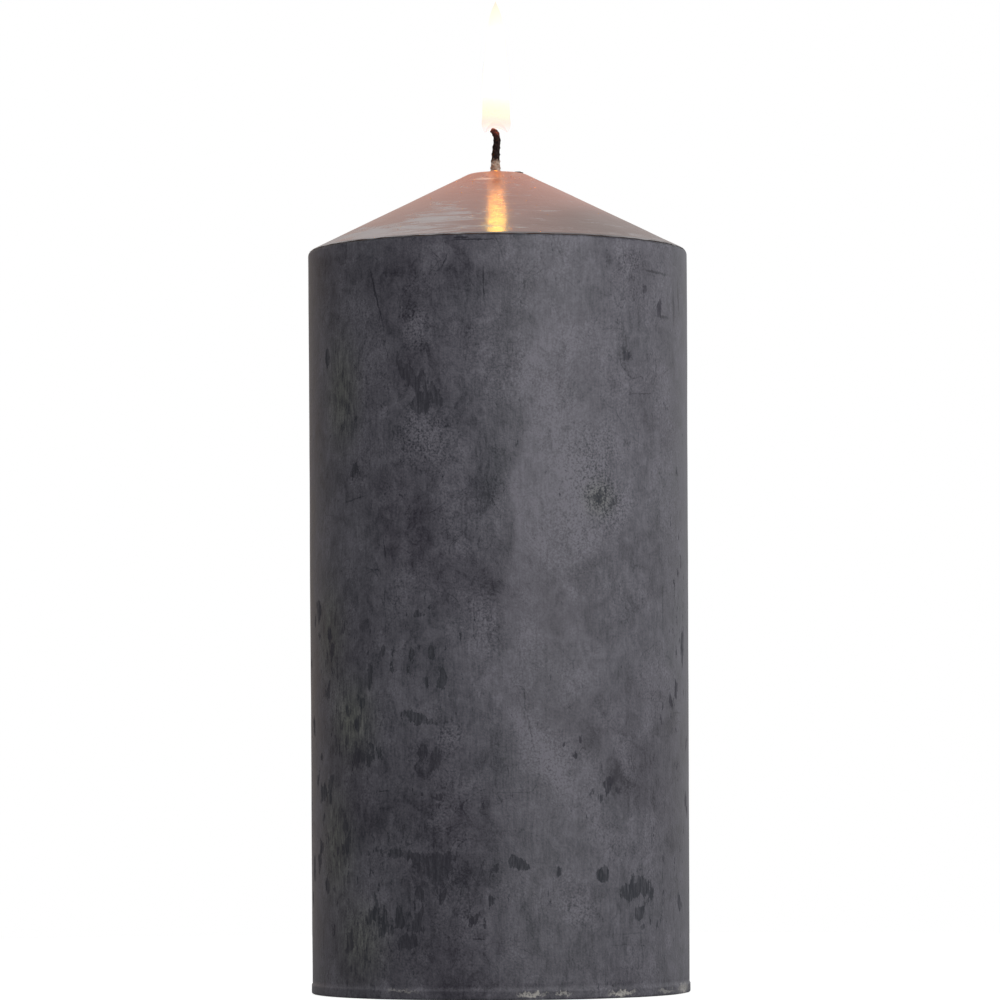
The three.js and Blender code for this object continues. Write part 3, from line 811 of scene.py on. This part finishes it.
POOL_STEPS = 96
pool_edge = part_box("melt_pool")[1].x / MM
CLIMB = 0.62
WICK_TOUCH = 1.02
SAG = 0.12
CLEAR_OF_DISH = 0.05
pool_radii = [pool_edge + (WICK_TOUCH - pool_edge) * step / 16 for step in range(17)]
under = [(radius, min(tip_height, dish(max(radius, BORE_RADIUS)) + CLEAR_OF_DISH)) for radius in pool_radii]
over = []
for radius in pool_radii[1:]:
    inward = (pool_edge - radius) / (pool_edge - WICK_TOUCH)
    over.append((radius, tip_height - SAG * math.sin(math.pi * inward) + CLIMB * inward ** 4))
form = ring_outline([*reversed(under), *over])
turn(form, POOL_STEPS)
for corner in form.verts:         # the inner edge follows the leaning cord
    radius = corner.co.xy.length / MM
    near = max(0, 1 - (radius - WICK_TOUCH) / (pool_edge - WICK_TOUCH))
    corner.co.x += wick_at(tip_height).x * near * MM
liquid, tree, shader = new_material("Liquid wax", IOR=1.44, Specular_IOR_Level=0.6, Emission_Strength=1.0,
                                    Coat_Weight=0.6, Coat_Roughness=0.03)
solid = use(tree, whereabouts).outputs[0]
slick = grain(tree, solid, 0.8, 2, 0.5).outputs[0]
# The emission colour is a painted glow of the flame's light on the liquid wax.
feed(tree, shader,
     Base_Color=blend(tree, slick, (0.1, 0.05, 0.03, 1), (0.17, 0.09, 0.06, 1)),
     Emission_Color=blend(tree, slick, (0.22, 0.07, 0.02, 1), (0.34, 0.11, 0.03, 1)),
     Roughness=spread(tree, slick, 0.3, 0.7, 0.03, 0.09),
     Normal=bump(tree, slick, 0.03))
put("melted_wax", form, liquid, "melt_pool")


# ------------------------------------------------------------------ crumb on the tip
# A crumb of burnt cotton that has dropped from the wick and lies on the flat tip.

form = bmesh.new()
bmesh.ops.create_icosphere(form, subdivisions=3, radius=1)
CRUMB_SIZE = Vector((1.05, 0.5, 0.26))
CRUMB_AT = Vector((3.9, -0.9, tip_height + 0.06))
for corner in form.verts:
    lump = 1 + 0.45 * noise.noise(corner.co * 1.6 + Vector((3, 1, 7)))
    corner.co = (CRUMB_AT + Vector(a * b for a, b in zip(corner.co * lump, CRUMB_SIZE))) * MM
char, tree, shader = new_material("Burnt cotton crumb", Specular_IOR_Level=0.3)
flecks = grain(tree, use(tree, whereabouts).outputs[0], 3, 3, 0.6).outputs[0]
feed(tree, shader,
     Base_Color=blend(tree, spread(tree, flecks, 0.4, 0.7), (0.012, 0.009, 0.009, 1), (0.09, 0.06, 0.05, 1)),
     Roughness=spread(tree, flecks, 0.3, 0.7, 0.6, 0.9),
     Normal=bump(tree, flecks, 0.1))
put("burnt_crumb", form, char, None, sharp_above=180)


# ------------------------------------------------------------------ flame
# Burning wax vapour: dim and pinkish round the end of the wick, white-hot above, and drawn out
# to a point. It is hollow underneath, so two soft lobes hang beside the wick.

FLAME_STEPS = 96
FLAME_ROWS = 70
flame_low, flame_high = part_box("flame")
flame_radius = (flame_high.x - flame_low.x) / 2 / MM
flame_middle = (flame_high.x + flame_low.x) / 2 / MM
flame_base = flame_low.z / MM
flame_height = flame_high.z / MM - flame_base
HOLLOW_RADIUS, HOLLOW_DEPTH = 2.0, 1.6
ARCH = 1.0                        # the base arches up at the front and back
ARCH_FADES_AT = 5                 # height above the base
flame_side, flame_side_length = smooth_course([
    Vector((share * flame_radius, 0, up * flame_height)) for share, up in (
        (0.86, 0), (0.98, 0.025), (1, 0.13), (0.97, 0.28), (0.88, 0.43), (0.68, 0.62), (0.56, 0.78),
        (0.38, 0.9), (0, 1))])
outline = [(HOLLOW_RADIUS * math.sin(turned_by), flame_base + HOLLOW_DEPTH * math.cos(turned_by))
           for turned_by in (math.pi / 2 * step / 10 for step in range(11))]
for step in range(FLAME_ROWS + 1):
    corner = flame_side(flame_side_length * step / FLAME_ROWS)
    outline.append((max(0, corner.x), flame_base + corner.z))
form = ring_outline(outline, closed=False)
turn(form, FLAME_STEPS)
for corner in form.verts:
    above = corner.co.z / MM - flame_base
    facing = abs(corner.co.y) / max(corner.co.xy.length, 0.0001 * MM)
    corner.co.z += ARCH * facing ** 2 * max(0, 1 - above / ARCH_FADES_AT) * MM
    corner.co.x += flame_middle * MM


def ramp(tree, value, stops):
    """Colours along 0..1, given as (position, colour) stops from lowest to highest."""
    node = add(tree, "ValToRGB", {0: value})
    elements = node.color_ramp.elements
    for element, (position, colour) in zip((elements[0], elements[1]), (stops[0], stops[-1])):
        element.position = position
        element.color = (*colour, 1)
    for position, colour in stops[1:-1]:
        elements.new(position).color = (*colour, 1)
    return node.outputs[0]


fire, tree, shader = new_material("Flame", Roughness=1.0, Specular_IOR_Level=0.0, Emission_Strength=9.0)
solid = use(tree, whereabouts).outputs[0]
height = add(tree, "SeparateXYZ", {0: solid}).outputs[2]
wisps = grain(tree, solid, 0.35, 2, 0.5, across=(1, 1, 0.3)).outputs[0]
up = calc(tree, "ADD", spread(tree, height, flame_base, flame_base + flame_height, way="LINEAR"),
          calc(tree, "MULTIPLY", part(tree, wisps, 0.5), 0.05))
burn = ramp(tree, up, (
    (0, (0.111, 0.078, 0.076)), (0.05, (0.111, 0.082, 0.078)), (0.1, (0.111, 0.092, 0.078)),
    (0.16, (0.113, 0.104, 0.08)), (0.22, (0.12, 0.112, 0.09)), (0.3, (0.16, 0.14, 0.115)),
    (0.35, (0.6, 0.42, 0.13)), (0.42, (1, 0.72, 0.14)), (0.7, (1, 0.68, 0.13)),
    (0.82, (0.13, 0.118, 0.1)), (0.95, (0.113, 0.1, 0.082)), (1, (0.105, 0.088, 0.07))))
thickness = ramp(tree, up, [(position, (level,) * 3) for position, level in (
    (0, 0.15), (0.035, 0.22), (0.075, 0.7), (0.3, 0.95))])
feed(tree, shader, Emission_Color=burn, Base_Color=burn, Alpha=thickness)
put("flame_body", form, fire, "flame", sharp_above=60)


# ------------------------------------------------------------------ studio
# A pale floor, a soft white surround with one broad panel to the right, and the camera.

FLOOR_RADIUS = 0.35               # sizes in this section are in metres
FLOOR_DROP = 0.00005
FLOOR_GLOW = 0.85
floor_form = bmesh.new()
bmesh.ops.create_circle(floor_form, cap_ends=True, segments=96, radius=FLOOR_RADIUS,
                        matrix=Matrix.Translation((0, 0, -FLOOR_DROP)))
floor_mesh = bpy.data.meshes.new("floor")
floor_form.to_mesh(floor_mesh)
floor_form.free()
floor = bpy.data.objects.new("floor", floor_mesh)
bpy.context.scene.collection.objects.link(floor)
paper, tree, shader = new_material("White paper", Roughness=0.9, Base_Color=(0.3, 0.3, 0.3, 1),
                                   Emission_Color=(1, 1, 1, 1))
seen = add(tree, "LightPath").outputs["Is Camera Ray"]
feed(tree, shader, Emission_Strength=calc(tree, "MULTIPLY", seen, FLOOR_GLOW))
floor_mesh.materials.append(paper)

world = bpy.data.worlds.new("Studio")
bpy.context.scene.world = world
world.use_nodes = True
tree = world.node_tree
tree.nodes.clear()
east, north, up = add(tree, "SeparateXYZ", {0: add(tree, "TexCoord").outputs["Generated"]}).outputs
bearing = calc(tree, "ARCTAN2", east, calc(tree, "MULTIPLY", north, -1))
LIGHT_SCALE = 2.0                 # the ramp holds the light's levels divided by this
WARM, PLAIN = (1.15, 0.98, 0.87), (1, 1, 1)
OVERHEAD, ZENITH = 0.84, 1.6
# The light's level by bearing: degrees from the front, turning right, level and tint.
STOPS = ((-180, 0.4, PLAIN), (-160, 0.42, WARM), (-142, 0.24, WARM), (-115, 0.13, PLAIN),
         (-90, 0.11, PLAIN), (-12, 0.13, PLAIN), (2, 0.42, PLAIN), (14, 1.65, PLAIN),
         (42, 1.6, PLAIN), (64, 0.98, PLAIN), (95, 0.76, PLAIN), (130, 0.62, PLAIN),
         (150, 0.6, PLAIN), (180, 0.4, PLAIN))
surround = ramp(tree, spread(tree, bearing, -math.pi, math.pi, way="LINEAR"), [
    ((degrees + 180) / 360, [level / LIGHT_SCALE * share for share in tint])
    for degrees, level, tint in STOPS])
sky = blend(tree, spread(tree, up, 0.17, 0.87), surround, (*[OVERHEAD / LIGHT_SCALE] * 3, 1))
sky = blend(tree, spread(tree, up, 0.87, 0.95), sky, (*[ZENITH / LIGHT_SCALE] * 3, 1))
light = add(tree, "Background", {0: sky, 1: LIGHT_SCALE}).outputs[0]
plain = add(tree, "Background", {0: (1, 1, 1, 1), 1: 1.0}).outputs[0]
seen = add(tree, "LightPath").outputs["Is Camera Ray"]
mixed = add(tree, "MixShader", {0: seen, 1: light, 2: plain}).outputs[0]
tree.links.new(mixed, tree.nodes.new("ShaderNodeOutputWorld").inputs[0])

warm = bpy.data.lights.new("Flame light", "POINT")
warm.energy = 0.02
warm.color = (1.0, 0.4, 0.12)
warm.shadow_soft_size = 0.0022
warm_light = bpy.data.objects.new("Flame light", warm)
warm_light.visible_glossy = False
HEART_OF_FLAME = 9                # millimetres above its base
warm_light.location = (flame_middle * MM, 0, (flame_base + HEART_OF_FLAME) * MM)
bpy.context.scene.collection.objects.link(warm_light)

camera_data = bpy.data.cameras.new("Camera")
camera_data.sensor_width = 36     # millimetres, as is the lens
camera_data.lens = 181.55
camera_data.clip_end = 20
camera = bpy.data.objects.new("Camera", camera_data)
camera.location = (0.000245, -0.940, 0.0398)
LOOK_UP, LEAN = 3.150, -0.307     # degrees
camera.rotation_euler = (Matrix.Rotation(math.radians(90 + LOOK_UP), 3, "X")
                         @ Matrix.Rotation(math.radians(LEAN), 3, "Z")).to_euler()
bpy.context.scene.collection.objects.link(camera)
bpy.context.scene.camera = camera
bpy.context.scene.view_settings.view_transform = "Standard"
